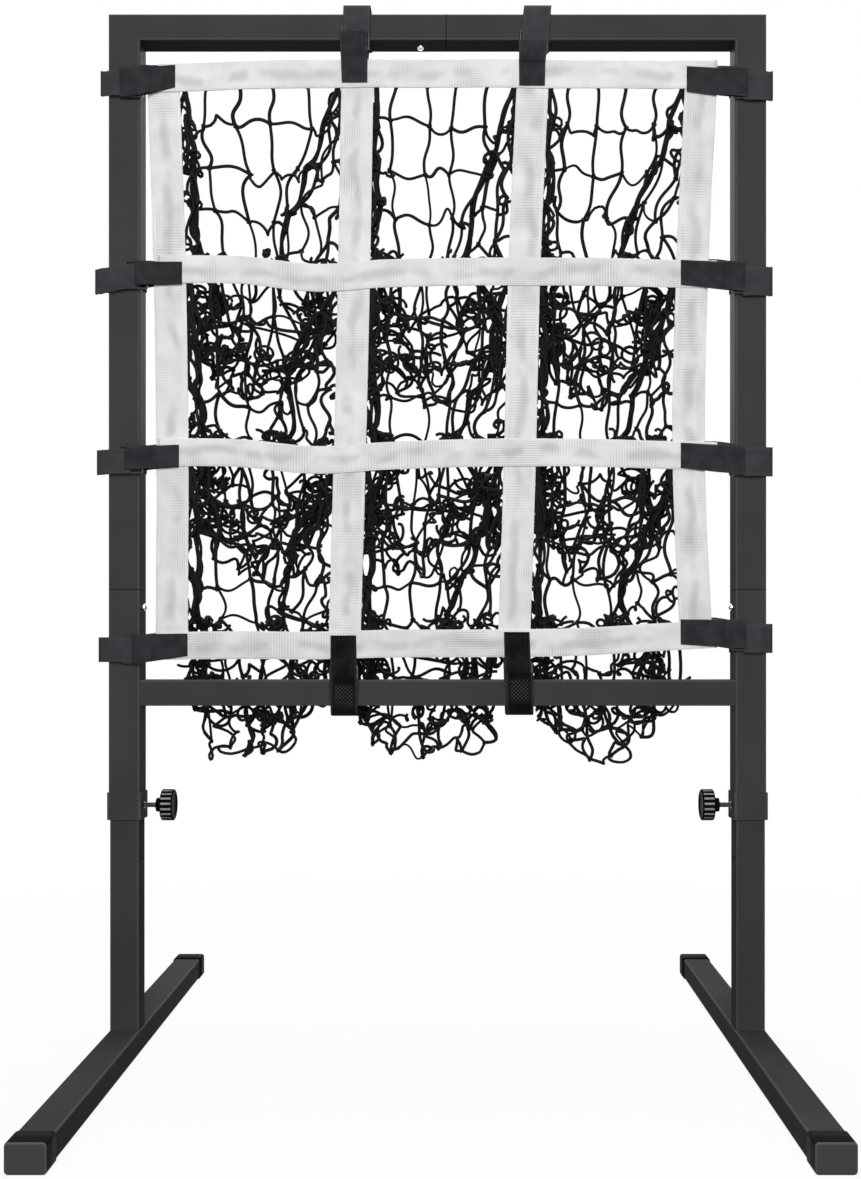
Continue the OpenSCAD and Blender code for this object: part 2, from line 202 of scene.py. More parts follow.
def add_piece(name, points, faces, finish, values=None):
    """A smooth mesh with one finish. values are numbers for its points or its faces' corners."""
    mesh = bpy.data.meshes.new(name)
    mesh.from_pydata([tuple(p) for p in points], [], faces)
    mesh.polygons.foreach_set("use_smooth", [True] * len(mesh.polygons))
    for key, numbers in (values or {}).items():
        domain = "POINT" if len(numbers) == len(mesh.vertices) else "CORNER"
        mesh.attributes.new(key, "FLOAT", domain).data.foreach_set("value", np.asarray(numbers, np.float32))
    mesh.materials.append(finish.material)
    mesh.update()
    return put(name, mesh)


floor_finish = Finish("studio_floor")
floor_x, floor_y = floor_finish.axes()[:2]
far = ((floor_x * floor_x + floor_y * floor_y) ** 0.5).step(0.55, 1.6)
looked_at = floor_finish.looked_at()
floor_finish.shade(
    Base_Color=floor_finish.blend(looked_at, (0.11, 0.11, 0.11), (0.97, 0.97, 0.97)),
    Roughness=0.9 + 0.05 * floor_finish.noise(0.3),
    Specular_IOR_Level=0)
lit = Value(floor_finish, floor_finish.shader.outputs[0])
white = floor_finish.node("Emission", sockets={"Color": (1, 1, 1), "Strength": 1})
floor_mix = floor_finish.node("MixShader", sockets={0: (0.9 + 0.1 * far) * looked_at, 1: lit, 2: white})
floor_finish.feed(floor_finish.tree.nodes["Material Output"], {"Surface": floor_mix})

floor_edge = 7                          # half its width, in metres
floor_corners = [(x * floor_edge, y * floor_edge, 0) for x, y in ((-1, -1), (1, -1), (1, 1), (-1, 1))]
add_piece("studio_floor", floor_corners, [(0, 1, 2, 3)], floor_finish)

sky = Finish("studio", world=True)
sky_light = 0.06                        # faint as a light, and white when looked at
sky.shade(Color=(1, 1, 1), Strength=sky_light + (1 - sky_light) * sky.looked_at())
scene.world = sky.material


def lamp(name, place, size, power):
    """A soft rectangular lamp that points at the middle of the target."""
    light = bpy.data.lights.new(name, "AREA")
    light.shape = "RECTANGLE"
    light.size, light.size_y = size
    light.energy = power
    holder = put(name, light)
    holder.location = place
    direction = np.subtract(middle, place)
    yaw = math.atan2(-direction[0], direction[1])
    pitch = math.atan2(direction[2], math.hypot(direction[0], direction[1]))
    holder.rotation_euler = (math.radians(90) + pitch, 0, yaw)


middle = (0, 0, 0.6)
lamp("front_lamp", (0, -2.7, 1.3), (1.0, 2.0), 67)
lamp("back_lamp", (0, 2.8, 1.9), (1.4, 1.6), 44)
lamp("top_lamp", (0, 0.3, 3.1), (1.2, 1.2), 40)
for side in (-1, 1):
    lamp(f"side_lamp_{side + 1}", (side * 2.4, -0.6, 1.1), (0.7, 2.2), 1.5)


# ---- Steel stand: feet and legs ----
# Square steel tube, welded into an upside-down T on each side and powder-coated satin
# black. The coat has a fine orange peel, and the legs are rubbed where they slide.

def times(colour, factor):
    return tuple(c * factor for c in colour)


def powder_coat(name, colour, shine=0.0028):
    """Satin black coat, with cloudy tone, dust specks and a painted highlight along the rounded edges."""
    finish = Finish(name)
    peel = finish.noise(0.0011, detail=3)
    cloud = finish.noise(0.09)
    dust = finish.noise(0.0006, detail=1).step(0.69, 0.74)
    tone = finish.blend(cloud.step(0.3, 0.7), times(colour, 0.93), times(colour, 1.08))
    # painted highlight: the coat is coloured lighter where its surface faces no single axis, on the rounded
    # edges
    facing = finish.node("NewGeometry", out="Normal")
    nx, ny, nz = [part.size() for part in finish.axes(facing)]
    flat = nx.most(ny).most(nz)
    tone = finish.blend((1 - flat.step(0.9, 0.985)) * 0.6, tone, times(colour, 2.1))
    return finish.shade(
        Base_Color=finish.blend(dust * 0.35, tone, times(colour, 2.2)),
        Roughness=0.36 + 0.1 * cloud + 0.05 * peel,
        Normal=finish.relief(peel, 0.05 * MM),
        Specular_IOR_Level=shine)


def wear(finish, *names):
    for name in names:
        nodes[name].material_slots[0].material = finish.material


foot_coat = powder_coat("foot_powder_coat", (0.062, 0.062, 0.063), shine=0.001)
wear(foot_coat, "left_foot", "right_foot")

leg_coat = powder_coat("leg_powder_coat", (0.051, 0.051, 0.052), shine=0.001)
rub = leg_coat.noise(0.004, detail=3, stretch=(1, 1, 40)).step(0.62, 0.72)
rubbed = rub * leg_coat.axes()[2].step(0.16, 0.27) * 0.3
leg_coat.shade(Roughness=0.42 - 0.12 * rubbed)
wear(leg_coat, "left_leg", "right_leg")

guide_finish = Finish("leg_guide_plastic")
guide_finish.shade(
    Base_Color=guide_finish.blend(guide_finish.noise(0.01), (0.02, 0.02, 0.021), (0.03, 0.03, 0.031)),
    Roughness=0.5 + 0.1 * guide_finish.noise(0.001))
wear(guide_finish, "left_leg_guide", "right_leg_guide")


# ---- Foot caps ----
# Four black plastic sleeves, moulded with round edges, pushed over the ends of the feet.
# They stand on the ground and keep the steel off it.

def rounded(wide, high, radius, inset=0, steps=6):
    """The outline of a rectangle with round corners, drawn in by inset."""
    r = max(radius - inset, 0.0002)
    w, h = wide / 2 - inset - r, high / 2 - inset - r
    outline = []
    for k, (x, y) in enumerate(((1, 1), (-1, 1), (-1, -1), (1, -1))):
        turns = [(k + i / steps) * math.pi / 2 for i in range(steps + 1)]
        outline += [(x * w + r * math.cos(t), y * h + r * math.sin(t)) for t in turns]
    return np.array(outline)


def quarter(radius, count):
    """A quarter round from an edge's side to its end: how far each point lies in, and back."""
    turns = [step / (count - 1) * math.pi / 2 for step in range(count)]
    return [(radius * (1 - math.cos(t)), radius * (1 - math.sin(t))) for t in turns]


def fit(piece, node, body):
    """Hides the node that the piece stands for, and lets the piece move with a body."""
    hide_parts(node)
    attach(piece, body)


def loft(rings):
    """Points and faces of a closed solid through rings of as many points each."""
    count, around = len(rings), len(rings[0])
    points = np.concatenate([*rings, [np.mean(rings[0], 0)], [np.mean(rings[-1], 0)]])
    pairs = [(j, (j + 1) % around) for j in range(around)]
    last = (count - 1) * around
    faces = [(i + j, i + k, i + around + k, i + around + j) for i in range(0, last, around) for j, k in pairs]
    for j, k in pairs:
        faces += [(k, j, last + around), (last + j, last + k, last + around + 1)]
    return points, faces


cap_finish = Finish("cap_plastic")
spark = cap_finish.noise(0.0007)
scuff = cap_finish.noise(0.006, detail=4, stretch=(3, 1, 1)).step(0.6, 0.75)
end_face = cap_finish.own("end")         # painted shade and highlight: the sleeve is coloured much darker, and the end's round edge lighter, than the end face
cap_tone = cap_finish.blend(end_face.step(0.1, 0.5), (0.003, 0.003, 0.0035), (0.1, 0.1, 0.102))
cap_tone = cap_finish.blend(end_face.step(0.8, 1.0), cap_tone, (0.062, 0.062, 0.064))
cap_finish.shade(
    Base_Color=cap_finish.blend(scuff * 0.15, cap_tone, (0.06, 0.06, 0.062)),
    Roughness=0.38 + 0.12 * spark + 0.1 * scuff,
    Normal=cap_finish.relief(spark, 0.03 * MM),
    Specular_IOR_Level=0.008)

cap_corner = 4 * MM                     # radius of its long edges
cap_edge = 2.6 * MM                     # radius round its end face
cap_wall = 1.3 * MM
cap_end = 3 * MM                        # thickness of its end
lip = 0.4 * MM                          # bevel round its open end
for side in ("left", "right"):
    for end, way in (("front", -1), ("rear", 1)):
        low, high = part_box(f"{side}_{end}_cap")
        wide, long, tall = high - low
        centre = (low + high) / 2
        # From the inside of its end outwards: how far in, and how far from its open end
        outline = [(cap_wall + 1 * MM, long - cap_end), (cap_wall, long - cap_end), (cap_wall, lip),
                   (cap_wall - lip, 0), (lip, 0), (0, lip), (0, long * 0.5)]
        outline += [(inset, long - back) for inset, back in quarter(cap_edge, 8)]
        outline += [(cap_edge + 1.5 * MM, long), (cap_edge + 5 * MM, long)]
        rings = []
        for inset, depth in outline:
            flat = rounded(wide, tall, cap_corner, inset)
            y = centre[1] + way * (depth - long / 2)
            rings.append(np.c_[centre[0] - way * flat[:, 0], np.full(len(flat), y), centre[2] + flat[:, 1]])
        depths = np.array([depth for inset, depth in outline])
        at_end = np.clip((depths - long + cap_edge) / cap_edge, 0, 1)
        at_end = np.r_[np.repeat(at_end, len(flat)), 0, 1]
        cap = add_piece(f"{side}_{end}_foot_cap", *loft(rings), cap_finish, {"end": at_end})
        fit(cap, f"{side}_{end}_cap", f"{side}_base")


# ---- Frame ----
# Two side tubes with the cross rail welded between them, and two top corners that plug
# onto them and onto each other. A hairline gap shows where two tubes meet.

steel_black = (0.055, 0.055, 0.056)
frame_coat = powder_coat("frame_powder_coat", steel_black)
wear(frame_coat, "cross_rail", "left_collar", "right_collar")

joint_coat = powder_coat("jointed_powder_coat", steel_black)
joint_x, _, joint_z = joint_coat.axes()
side_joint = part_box("left_side_tube")[1][2]
top_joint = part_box("top_right_corner")[0][0]
side_gap = 1 - (joint_z - side_joint).size().step(0.0002, 0.0009)
top_gap = (1 - (joint_x - top_joint).size().step(0.0002, 0.0009)) * joint_z.step(1.0, 1.1)
gap = side_gap.most(top_gap)
joint_tone = joint_coat.shader.inputs["Base Color"].links[0].from_socket
joint_coat.shade(Base_Color=joint_coat.blend(gap, Value(joint_coat, joint_tone), (0.012, 0.012, 0.013)))
wear(joint_coat, "left_side_tube", "right_side_tube", "top_left_corner", "top_right_corner")


# ---- Tube joints and snap buttons ----
# Inside each joint a sleeve of bare steel carries a bent leaf spring, which pushes a
# polished button out through the tube.

def plated(name, colour, rough):
    """Plated steel with a fine grain along it."""
    finish = Finish(name)
    grain = finish.noise(0.0005, stretch=(1, 1, 6))
    cloud = finish.noise(0.004)
    return finish.shade(
        Base_Color=finish.blend(cloud, times(colour, 0.9), colour),
        Roughness=rough + 0.12 * grain,
        Metallic=1.0,
        Normal=finish.relief(grain, 0.008 * MM))


sleeve_finish = plated("sleeve_zinc", (0.5, 0.51, 0.52), 0.3)
wear(sleeve_finish, "left_joint_insert", "right_joint_insert", "top_joint_insert",
     "left_button_spring", "right_button_spring", "top_button_spring")
button_finish = plated("button_nickel", (0.86, 0.86, 0.86), 0.1)
wear(button_finish, "left_button", "right_button", "top_button")


# ---- Height clamps ----
# A threaded steel insert in each collar takes a zinc-plated stud, and a fluted knob of
# glossy black plastic is moulded on it. Tightened, the stud's end holds in the leg's hole.

clamp_zinc = plated("clamp_zinc", (0.11, 0.11, 0.113), 0.3)
wear(clamp_zinc, "left_clamp_nut", "right_clamp_nut")

knob_finish = Finish("knob_plastic")
knob_cloud = knob_finish.noise(0.008, detail=3)
knob_grain = knob_finish.noise(0.0004)
crest = knob_finish.own("crest").step(0.72, 1.0)        # painted highlight: the flutes' crests are coloured light grey
knob_finish.shade(
    Base_Color=knob_finish.blend(crest * (0.5 + 0.5 * knob_cloud), (0.004, 0.004, 0.0045),
                                 (0.42, 0.42, 0.42)),
    Roughness=0.2 + 0.08 * knob_cloud,
    Normal=knob_finish.relief(knob_grain, 0.01 * MM),
    Specular_IOR_Level=0.002)

thread_pitch = 1.0 * MM
thread_depth = 0.5 * MM
thread_ring = 24                        # points round the stud
thread_steps = 10                       # rings of points in one pitch
flutes = 18
flute_r = 2 * MM
knob_ring = flutes * 16                 # points round the knob
grip_l = 14.5 * MM
hub_r = 8 * MM
bore_r = 3.05 * MM
edge_r = 1.8 * MM                       # radius of the grip's two edges
for side, way in (("left", -1), ("right", 1)):
    low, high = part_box(f"{side}_clamp_stud")
    z = (low[2] + high[2]) / 2
    stud_r = (high[2] - low[2]) / 2
    stud_l = high[0] - low[0]
    count = int(stud_l / thread_pitch * thread_steps)
    spokes = np.arange(thread_ring)
    turns = 2 * math.pi * spokes / thread_ring
    rings = []
    for i in range(count + 1):
        along = stud_l * i / count
        taper = min(1, min(along, stud_l - along) / (0.6 * MM))
        phase = (along / thread_pitch - spokes / thread_ring) % 1
        ridge = np.clip(1.3 - 2.6 * np.abs(2 * phase - 1) / 1.6, 0, 1)
        r = stud_r - thread_depth * (1 - ridge * taper)
        rings.append(np.c_[np.full(thread_ring, low[0] + along), r * np.cos(turns), z + r * np.sin(turns)])
    stud = add_piece(f"{side}_threaded_stud", *loft(rings), clamp_zinc)
    fit(stud, f"{side}_clamp_stud", f"{side}_stud")

    low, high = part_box(f"{side}_knob")
    knob_r = (high[2] - low[2]) / 2
    hub_face = high[0] if way > 0 else -low[0]         # distance from the middle of the stand
    grip_back = hub_face - (high[0] - low[0] - 17 * MM)
    grip_face = grip_back - grip_l
    hub_face -= 2 * MM
    turns = np.arange(knob_ring) * 2 * math.pi / knob_ring
    off = np.abs((turns * flutes / (2 * math.pi) + 0.5) % 1 - 0.5) * 2 * math.pi / flutes
    centre_r = knob_r + flute_r / 2
    reach = np.clip(flute_r ** 2 - (centre_r * np.sin(off)) ** 2, 0, None)
    fluted = np.where(reach > 0, centre_r * np.cos(off) - np.sqrt(reach), knob_r)
    fluted = np.minimum(fluted, knob_r)
    kernel = np.array([1, 2, 3, 2, 1]) / 9
    fluted = sum(w * np.roll(fluted, k - 2) for k, w in enumerate(kernel))
    # From the bore round the hub and the grip to its face: radius, place, and depth of the flutes
    profile = [(bore_r, hub_face - 14 * MM, 0), (bore_r, hub_face - 0.3 * MM, 0),
               (bore_r + 0.4 * MM, hub_face, 0), (hub_r - 0.8 * MM, hub_face, 0),
               (hub_r - 0.2 * MM, hub_face - 0.2 * MM, 0), (hub_r, hub_face - 0.8 * MM, 0),
               (hub_r, grip_back + 1.2 * MM, 0), (hub_r + 0.4 * MM, grip_back + 0.3 * MM, 0),
               (hub_r + 1.4 * MM, grip_back, 0), (knob_r - edge_r - 1 * MM, grip_back, 0)]
    bend = quarter(edge_r, 7)
    profile += [(knob_r - back, grip_back - inset, k / 6) for k, (inset, back) in enumerate(bend)]
    profile += [(knob_r - inset, grip_face + back, 1 - k / 6) for k, (inset, back) in enumerate(bend)]
    profile += [(knob_r - edge_r - 1 * MM, grip_face, 0), (12.5 * MM, grip_face, 0),
                (12.1 * MM, grip_face + 0.3 * MM, 0), (11.6 * MM, grip_face + 0.6 * MM, 0),
                (4 * MM, grip_face + 0.6 * MM, 0)]
    rings = []
    for radius, x, share in profile:
        r = radius - (knob_r - fluted) * share
        rings.append(np.c_[np.full(knob_ring, way * x), r * np.cos(way * turns), z + r * np.sin(way * turns)])
    high_up = np.concatenate([share * (fluted - fluted.min()) / np.ptp(fluted) for _, _, share in profile])
    knob = add_piece(f"{side}_clamp_knob", *loft(rings), knob_finish, {"crest": np.r_[high_up, 0, 0]})
    fit(knob, f"{side}_knob", f"{side}_knob")


# ---- Webbing ----
# Ribbed white polyester webbing: four bands across and, sewn behind them, four upright
# ones. The straps pull it out of true, so the bands lean, sag and ripple a little.

row_names = ("top", "upper", "lower", "bottom")
col_names = ("left", "inner_left", "inner_right", "right")
band_rows = [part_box(f"{n}_web") for n in row_names]
band_cols = [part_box(f"{n}_web") for n in col_names]
row_z = [(low[2] + high[2]) / 2 for low, high in band_rows]
col_x = [(low[0] + high[0]) / 2 for low, high in band_cols]
web_t = 1.5 * MM

# How far the webbing is pulled out of true where bands cross, in mm: to the right for
# each row of crossings, and upwards at eight places along each cross band
pulled_right = [(-13, 9, 9, 1), (-5, 5, -1, -10), (-2, 0, -6, -14), (-3, -6, -13, -5)]
raised_at = [-322, -228, -138, -60, 50, 155, 270, 322]
raised = [(-6, -3, -1.5, -1, -0.5, -2, -2, -1), (2, 1.5, -7.5, -3, -0.5, -0.5, -3, -4),
          (2, 0.5, -7, -2.5, 1, 1.5, -1.5, -3), (-2, -1, -1.5, 0.5, 1, 2.5, 9, 12)]


def curve(x, xs, ys):
    """A smooth curve through the points (xs, ys), which are few."""
    xs, ys = np.array(xs, float), np.array(ys, float)
    slope = np.gradient(ys, xs)
    i = np.clip(np.searchsorted(xs, x) - 1, 0, len(xs) - 2)
    span = xs[i + 1] - xs[i]
    t = np.clip((x - xs[i]) / span, 0, 1)
    return ((1 + 2 * t) * (1 - t) ** 2 * ys[i] + t * (1 - t) ** 2 * span * slope[i]
            + t * t * (3 - 2 * t) * ys[i + 1] + t * t * (t - 1) * span * slope[i + 1])


def pull(x, z):
    """How far the cloth at (x, z) is pulled to the right and up, in metres."""
    shares = [curve(z, row_z[::-1], np.eye(4)[3 - r]) for r in range(4)]
    dx = sum(share * curve(x, col_x, row) for share, row in zip(shares, pulled_right))
    dz = sum(share * curve(x / MM, raised_at, row) for share, row in zip(shares, raised))
    return dx * MM, dz * MM


def ripple(x, z):
    """How far the cloth at (x, z) stands forward, in metres."""
    slow = np.sin(x * 21 + z * 9 + 0.6) * 0.9 + np.sin(x * 47 - z * 31 + 2.0) * 0.55
    fast = np.sin(x * 83 + z * 57 + 1.1) * 0.22 + np.sin(z * 74 - x * 26 + 0.4) * 0.3
    return (slow + fast) * MM


def unit(vectors, least=0):
    """The vectors at length 1. least keeps one without length from a division by zero."""
    return vectors / (np.linalg.norm(vectors, axis=-1, keepdims=True) + least)


def steps_of(path):
    """How far each point of a path, or of several, lies from the next."""
    return np.linalg.norm(np.diff(path, axis=-2), axis=-1)


def strip(path, across, wide, thick):
    """Points, faces and values of a tape that follows path. across points over its width, and
    may differ along the path. The tape's two edges are round and its ends are closed."""
    path = np.asarray(path, float)
    across = np.broadcast_to(np.asarray(across, float), path.shape)
    along = np.r_[0, np.cumsum(steps_of(path))]
    normal = unit(np.cross(unit(np.gradient(path, axis=0)), across))
    lanes = 10
    flat = [((2 * i / lanes - 1) * (wide / 2 - thick * 0.35), thick / 2) for i in range(lanes + 1)]
    edge = [(wide / 2, thick * 0.25), (wide / 2, -thick * 0.25)]
    outline = flat + edge + [(-w, -t) for w, t in flat] + [(-w, -t) for w, t in edge]
    sides, rises = np.array(outline).T
    points, faces = loft([spot + np.outer(sides, way) + np.outer(rises, out)
                          for spot, way, out in zip(path, across, normal)])
    sides = sides / wide
    values = {"along": np.r_[np.repeat(along, len(outline)), 0, along[-1]],
              "to_end": np.r_[np.repeat(along[-1] - along, len(outline)), along[-1], 0],
              "across": np.r_[np.tile(sides, len(path)), 0, 0] * wide}
    return points, faces, values


def stitch_line(value, along, place, pitch=3.6 * MM, thread=0.55 * MM):
    """1 on the thread of a row of stitches that runs where value is place, and 0 beside it."""
    row = 1 - (value - place).size().step(thread * 0.5, thread)
    return row * along.wave(pitch).step(-0.75, -0.4)


def webbing(name):
    """White webbing: ribs and lines that show in patches with painted shade in their grooves, painted shade
    in soft hollows, and a sewn margin.
    """
    finish = Finish(name)
    along, across = finish.own("along"), finish.own("across")
    yarn = finish.noise(0.0007)
    cloud = finish.noise(0.035)
    fold = finish.noise(0.026, detail=1)
    wander = finish.noise(0.075, detail=1)
    hollow_shade = 1 - (across + 0.03 * (wander - 0.5)).size().step(0.001, 0.009)
    rib_patch = finish.noise(0.045, detail=1).step(0.48, 0.68)
    line_patch = finish.noise(0.055, detail=1, stretch=(1.3, 1.3, 1)).step(0.53, 0.68)
    margin = 1 - across.size().step(0.0135, 0.0155)
    rib = 0.5 + 0.5 * along.wave(3.2 * MM)
    line = 0.5 + 0.5 * across.wave(2.7 * MM)
    rib_groove = (1 - rib.step(0.02, 0.5)) * (0.06 + 0.94 * rib_patch)
    line_groove = (1 - line.step(0.02, 0.5)) * line_patch
    groove = rib_groove.most(line_groove) * margin
    seam = stitch_line(across.size(), along, 0.0145)
    tone = finish.blend(cloud.step(0.3, 0.7), (0.785, 0.785, 0.78), (0.893, 0.893, 0.888))
    # painted shade: darker in patches along a wandering line down the band's middle, where the cloth cups
    tone = finish.blend(hollow_shade * (0.1 + fold.step(0.36, 0.62)) * 0.7, tone, (0.6, 0.6, 0.6))
    # painted shade in the grooves between the ribs and lines
    tone = finish.blend(groove * 0.42, tone, (0.42, 0.42, 0.425))
    tone = finish.blend(seam * 0.5, tone, (0.9, 0.9, 0.9))
    waves = finish.relief(fold, 3 * MM)
    return finish.shade(
        Base_Color=tone,
        Roughness=0.66 + 0.1 * yarn,
        Normal=finish.relief((1 - groove) + 0.25 * yarn + 0.8 * seam, 0.22 * MM, waves),
        Sheen_Weight=0.12,
        Specular_IOR_Level=0.25)


web_finish = webbing("white_webbing")
for n, (low, high) in zip(row_names, band_rows):
    centre = np.add(low, high) / 2
    line = np.tile(centre, (130, 1))
    line[:, 0] = np.linspace(low[0], high[0], len(line))
    points, faces, values = strip(line, (0, 0, 1), high[2] - low[2], web_t)
    dz = pull(points[:, 0], np.full(len(points), centre[2]))[1]
    points[:, 1:] += np.c_[-ripple(points[:, 0], points[:, 2]), dz]
    band = add_piece(f"{n}_webbing", points, faces, web_finish, values)
    fit(band, f"{n}_web", "frame")
for n, (low, high) in zip(col_names, band_cols):
    centre = np.add(low, high) / 2
    line = np.tile(centre, (140, 1))
    line[:, 2] = np.linspace(low[2], high[2], len(line))
    points, faces, values = strip(line, (-1, 0, 0), high[0] - low[0], web_t)
    x, z = points[:, 0], points[:, 2]
    dx, dz = pull(np.full(len(points), centre[0]), z)
    sewn = np.clip(np.abs(z - centre[2]) / MM - 290, 0, 40) / 40        # 1 near its ends
    points = points + np.c_[dx, -ripple(x, z), (dz + np.sign(centre[2] - z) * 2 * MM) * sewn]
    band = add_piece(f"{n}_upright_webbing", points, faces, web_finish, values)
    fit(band, f"{n}_web", "frame")


# ---- Net pockets ----
# Each pocket is one strip of knotted netting that hangs from the band above its hole, falls
# back into a bag behind the hole below and comes up to the band under the hole, with a side
# net at each edge. The twine is stiff and crinkled, and the surplus lies tangled in the bag.

chance = np.random.default_rng(11)
mesh_l = 50 * MM                        # twine from knot to knot
twine_r = 1.95 * MM
knot_r = 2.3 * MM
cells = 5                               # meshes across a hole
pieces = 8                              # straight stretches in a twine while it settles
hole_half = 82.5 * MM
sewn_in = 4 * MM                        # netting hidden behind the webbing's edge

# The strip's rows of knots from the top band down the back and up the front: depth behind
# the mouth in mm, height on the back as a share of the hole, and how far the bag's rows hang
# below the hole in mm
row_depth = [2, 20, 42, 62, 84, 96, 104, 100, 86, 64, 36, 2]
row_height = [0.02, -0.16, -0.40, -0.65, -0.90]
bag_drop = [22, 64, 108, 148, 112, 62, 4]
back_rows = len(row_height)
bottom_row = back_rows + bag_drop.index(max(bag_drop))
spread = [0, 0.14, 0.36, 0.57, 0.80, 1.0]                   # where the meshes hang from the top band
# Where the back's right side and the bag's two sides lie, as shares of half a hole's width,
# in the left, middle and right column
right_seam = {-1: [0.97, 0.74, 0.46, 0.26, 0.20],
              0: [0.97, 0.84, 0.66, 0.44, 0.28],
              1: [0.97, 0.86, 0.66, 0.46, 0.34]}
bag_left = {-1: [-0.90, -0.95, -0.92, -0.80, -0.90, -0.95, -0.98],
            0: [-0.92, -0.97, -0.98, -0.92, -0.96, -0.98, -0.98],
            1: [-0.90, -0.94, -0.88, -0.66, -0.84, -0.94, -0.98]}
bag_right = {-1: [0.76, 0.80, 0.64, 0.36, 0.66, 0.88, 0.98],
             0: [0.78, 0.88, 0.92, 0.88, 0.92, 0.94, 0.98],
             1: [0.76, 0.86, 0.86, 0.64, 0.82, 0.92, 0.98]}
# Where surplus twine lies bunched: place across and height, as shares of half a hole's width
# and of its height, how far it spreads across as such a share and upwards in mm, its curls'
# size in mm, and how many there are
bunches = [(-0.84, -0.955, 0.10, 3, 4.5, 9), (0.80, -0.965, 0.08, 3, 4.5, 4),
           (-0.80, -1.24, 0.10, 12, 7.5, 7), (-0.76, -1.44, 0.12, 10, 7.5, 5),
           (0.66, -1.26, 0.14, 12, 7.5, 7), (-0.1, -1.52, 0.35, 8, 7, 6)]


class Netting:
    """The knots of a pocket and the twines between them. settle() lets them hang."""

    def __init__(self):
        self.points, self.free, self.links, self.bends = [], [], [], []
        self.twines, self.seams, self.knots, self.gathers = [], [], [], []

    def knot(self, place, free=1.0, shown=True):
        self.points.append(np.array(place, float))
        self.free.append(free)
        if shown:
            self.knots.append(len(self.points) - 1)
        return len(self.points) - 1

    def twine(self, a, b, length, seam=None, lean=None, wild=0.5):
        """A twine of that length from knot a to knot b, which starts as a bowed S."""
        start, end = self.points[a], self.points[b]
        gap = max(np.linalg.norm(end - start), 1e-6)
        way = (end - start) / gap

        def sideways():
            d = chance.normal(size=3) * [1, 0.6, 1]
            d = d - way * (d @ way)
            return d / (np.linalg.norm(d) + 1e-9)

        bow = sideways() if lean is None else lean - way * (lean @ way) + wild * sideways()
        t = np.linspace(0, 1, pieces + 1)
        bend = np.outer(np.sin(np.pi * t), bow)
        if wild:
            bend += np.outer(np.sin(2 * np.pi * t), sideways()) * chance.uniform(0.2, 0.7)
            bend += np.outer(np.sin(3 * np.pi * t), sideways()) * chance.uniform(0, 0.35)
        least, most = 0.0, length
        for _ in range(12):             # finds how far it bows for its length
            reach = (least + most) / 2
            path = start + np.outer(t, end - start) + reach * bend
            if steps_of(path).sum() > length:
                most = reach
            else:
                least = reach
        run = [a] + [self.knot(p, shown=False) for p in path[1:-1]] + [b]
        stretch = max(length, gap) / pieces
        self.links += [(i, j, stretch) for i, j in zip(run, run[1:])]
        self.bends += [(i, j, 1.7 * stretch) for i, j in zip(run, run[2:])]
        if seam is None:
            self.twines.append(run)
        else:
            seam += run[:-1]

    def apart(self, a, b):
        return np.linalg.norm(self.points[a] - self.points[b])


def curls(count, turns, t):
    """Paths of so many turns of a circle of radius 1 each, tilted at random, where t is -1 to 1."""
    a, b = chance.normal(size=(2, count, 1, 3)) * [1, 0.5, 1]
    a = unit(a)
    b = unit(b - a * (a * b).sum(2, keepdims=True))
    return a * np.cos(np.pi * turns * t) + b * np.sin(np.pi * turns * t)


